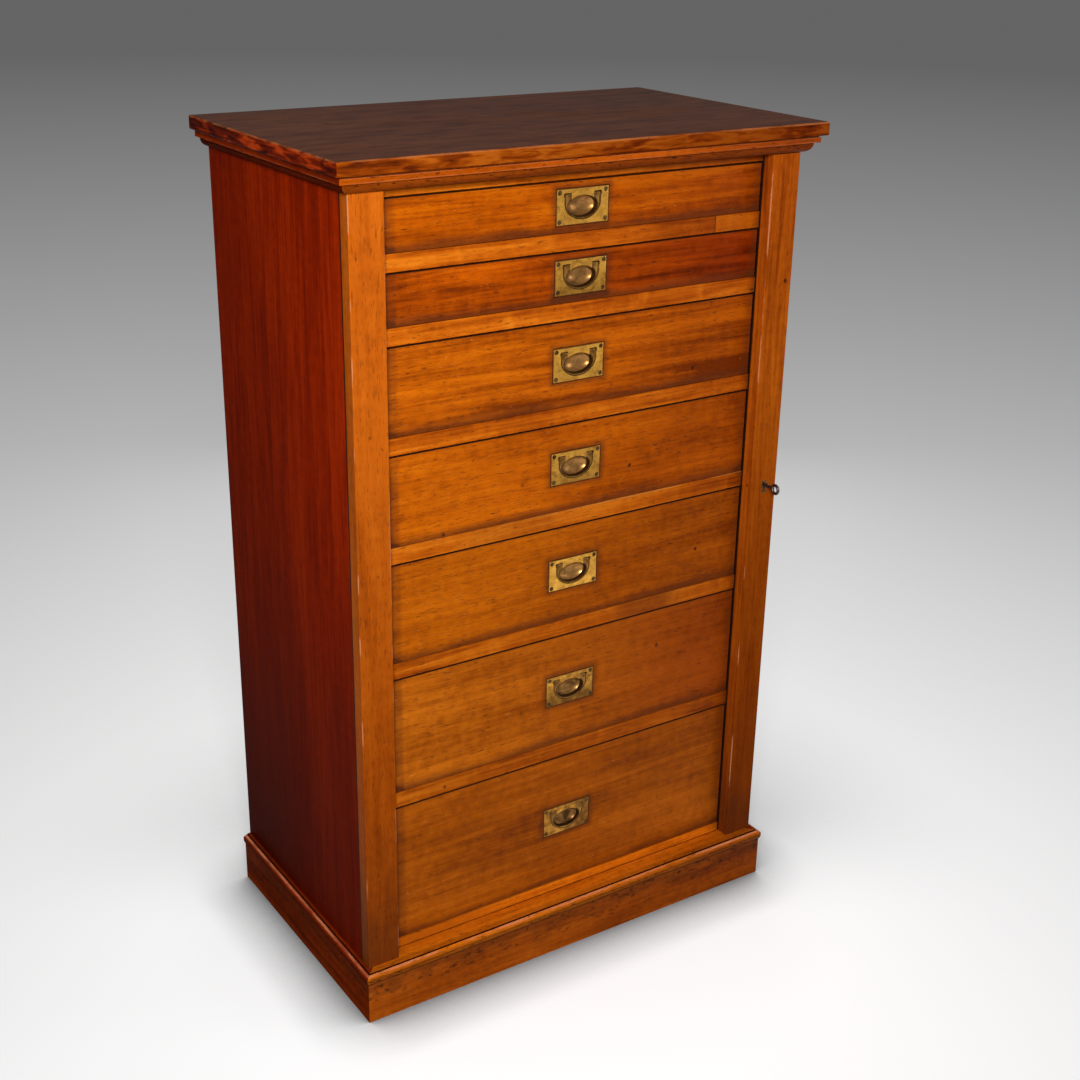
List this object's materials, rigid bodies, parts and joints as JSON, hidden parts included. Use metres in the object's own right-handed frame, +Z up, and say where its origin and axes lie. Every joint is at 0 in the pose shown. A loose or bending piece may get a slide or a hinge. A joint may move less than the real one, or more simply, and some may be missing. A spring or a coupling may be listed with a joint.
{
  "type": "wellington chest",
  "caption": "Tall narrow chest of graduated drawers with a hinged locking stile, moulded top and plinth, and flush brass handles with drop bails",
  "frame": {"origin": "on the floor, at the middle of the chest's width and of its depth from key to back", "axes": "+X to the chest's right as seen from the front, -Y the front, +Z up"},
  "size_m": [0.73, 0.4352, 1.18],
  "materials": {
    "top": "dark polished mahogany top, worn french polish",
    "side": "deep red-brown polished mahogany with upright grain",
    "front": "golden red-brown polished mahogany drawer fronts, darker streaks, small dents",
    "stile": "warm mahogany stiles with upright grain and bright worn edges",
    "rail": "lighter worn mahogany rails between the drawers",
    "moulding": "polished mahogany mouldings, dirt in the quirks",
    "plinth": "browner mahogany plinth, stained under the ledge",
    "lining": "unpolished oak drawer linings and inner framing",
    "back": "unpolished softwood back and dust boards, aged",
    "plate_brass": "aged cast brass with brown patina, darker round the edge and in the bowl",
    "bail_brass": "darker worn cast brass",
    "hinge_brass": "dull drawn brass",
    "steel": "dark oiled steel, worn bright in places"
  },
  "bodies": {
    "carcass": {"top_board": "top", "cornice_front": "moulding", "cornice_left": "moulding", "cornice_right": "moulding", "side_left": "side", "side_right": "side", "fixed_stile": "stile", "left_post": "lining", "right_post": "lining", "plinth_front": "plinth", "plinth_left": "plinth", "plinth_right": "plinth", "plinth_back": "back", "glue_blocks": "back", "ledge_front": "moulding", "ledge_left": "moulding", "ledge_right": "moulding", "bottom_board": "back", "drawer_rails": "rail", "drawer_runners": "lining", "dust_boards": "back", "back_boards": "back", "top_frame": "lining", "keeper": "hinge_brass", "hinge_leaves_fixed": "hinge_brass", "hinge_pins": "steel"},
    "drawer_1": {"drawer_1_front": "front", "drawer_1_box": "lining", "drawer_1_plate": "plate_brass"},
    "bail_1": {"drawer_1_bail": "bail_brass"},
    "drawer_2": {"drawer_2_front": "front", "drawer_2_box": "lining", "drawer_2_plate": "plate_brass"},
    "bail_2": {"drawer_2_bail": "bail_brass"},
    "drawer_3": {"drawer_3_front": "front", "drawer_3_box": "lining", "drawer_3_plate": "plate_brass"},
    "bail_3": {"drawer_3_bail": "bail_brass"},
    "drawer_4": {"drawer_4_front": "front", "drawer_4_box": "lining", "drawer_4_plate": "plate_brass"},
    "bail_4": {"drawer_4_bail": "bail_brass"},
    "drawer_5": {"drawer_5_front": "front", "drawer_5_box": "lining", "drawer_5_plate": "plate_brass"},
    "bail_5": {"drawer_5_bail": "bail_brass"},
    "drawer_6": {"drawer_6_front": "front", "drawer_6_box": "lining", "drawer_6_plate": "plate_brass"},
    "bail_6": {"drawer_6_bail": "bail_brass"},
    "drawer_7": {"drawer_7_front": "front", "drawer_7_box": "lining", "drawer_7_plate": "plate_brass"},
    "bail_7": {"drawer_7_bail": "bail_brass"},
    "locking_stile_leaf": {"locking_stile": "stile", "escutcheon": "plate_brass", "lock_case": "hinge_brass", "hinge_leaves_moving": "hinge_brass"},
    "bolt": {"lock_bolt": "hinge_brass"},
    "key": {"key": "steel"}
  },
  "joints": [
    {"name": "drawer_1_slide", "type": "slide", "parent": "carcass", "child": "drawer_1", "axis": [0, -1, 0], "range_m": [0, 0.3]},
    {"name": "bail_1_swing", "type": "hinge", "parent": "drawer_1", "child": "bail_1", "pos_m": [0, -0.16025, 1.10735], "axis": [-1, 0, 0], "range_deg": [0, 90]},
    {"name": "drawer_2_slide", "type": "slide", "parent": "carcass", "child": "drawer_2", "axis": [0, -1, 0], "range_m": [0, 0.3]},
    {"name": "bail_2_swing", "type": "hinge", "parent": "drawer_2", "child": "bail_2", "pos_m": [0, -0.16025, 1.0176], "axis": [-1, 0, 0], "range_deg": [0, 90]},
    {"name": "drawer_3_slide", "type": "slide", "parent": "carcass", "child": "drawer_3", "axis": [0, -1, 0], "range_m": [0, 0.3]},
    {"name": "bail_3_swing", "type": "hinge", "parent": "drawer_3", "child": "bail_3", "pos_m": [0, -0.16025, 0.90285], "axis": [-1, 0, 0], "range_deg": [0, 90]},
    {"name": "drawer_4_slide", "type": "slide", "parent": "carcass", "child": "drawer_4", "axis": [0, -1, 0], "range_m": [0, 0.3]},
    {"name": "bail_4_swing", "type": "hinge", "parent": "drawer_4", "child": "bail_4", "pos_m": [0, -0.16025, 0.7601], "axis": [-1, 0, 0], "range_deg": [0, 90]},
    {"name": "drawer_5_slide", "type": "slide", "parent": "carcass", "child": "drawer_5", "axis": [0, -1, 0], "range_m": [0, 0.3]},
    {"name": "bail_5_swing", "type": "hinge", "parent": "drawer_5", "child": "bail_5", "pos_m": [0, -0.16025, 0.60535], "axis": [-1, 0, 0], "range_deg": [0, 90]},
    {"name": "drawer_6_slide", "type": "slide", "parent": "carcass", "child": "drawer_6", "axis": [0, -1, 0], "range_m": [0, 0.3]},
    {"name": "bail_6_swing", "type": "hinge", "parent": "drawer_6", "child": "bail_6", "pos_m": [0, -0.16025, 0.4266], "axis": [-1, 0, 0], "range_deg": [0, 90]},
    {"name": "drawer_7_slide", "type": "slide", "parent": "carcass", "child": "drawer_7", "axis": [0, -1, 0], "range_m": [0, 0.3]},
    {"name": "bail_7_swing", "type": "hinge", "parent": "drawer_7", "child": "bail_7", "pos_m": [0, -0.16025, 0.2121], "axis": [-1, 0, 0], "range_deg": [0, 90]},
    {"name": "stile_hinge", "type": "hinge", "parent": "carcass", "child": "locking_stile_leaf", "pos_m": [0.3432, -0.16265, 0.079], "axis": [0, 0, 1], "range_deg": [0, 170]},
    {"name": "key_turn", "type": "hinge", "parent": "locking_stile_leaf", "child": "key", "pos_m": [0.318, -0.18435, 0.666], "axis": [0, 1, 0], "range_deg": [0, 90]},
    {"name": "bolt_slide", "type": "slide", "parent": "locking_stile_leaf", "child": "bolt", "axis": [-1, 0, 0], "range_m": [0, 0.006]}
  ],
  "couplings": [
    {"joint": "bolt_slide", "follows": "key_turn", "m_per_rad": 0.0038193}
  ]
}
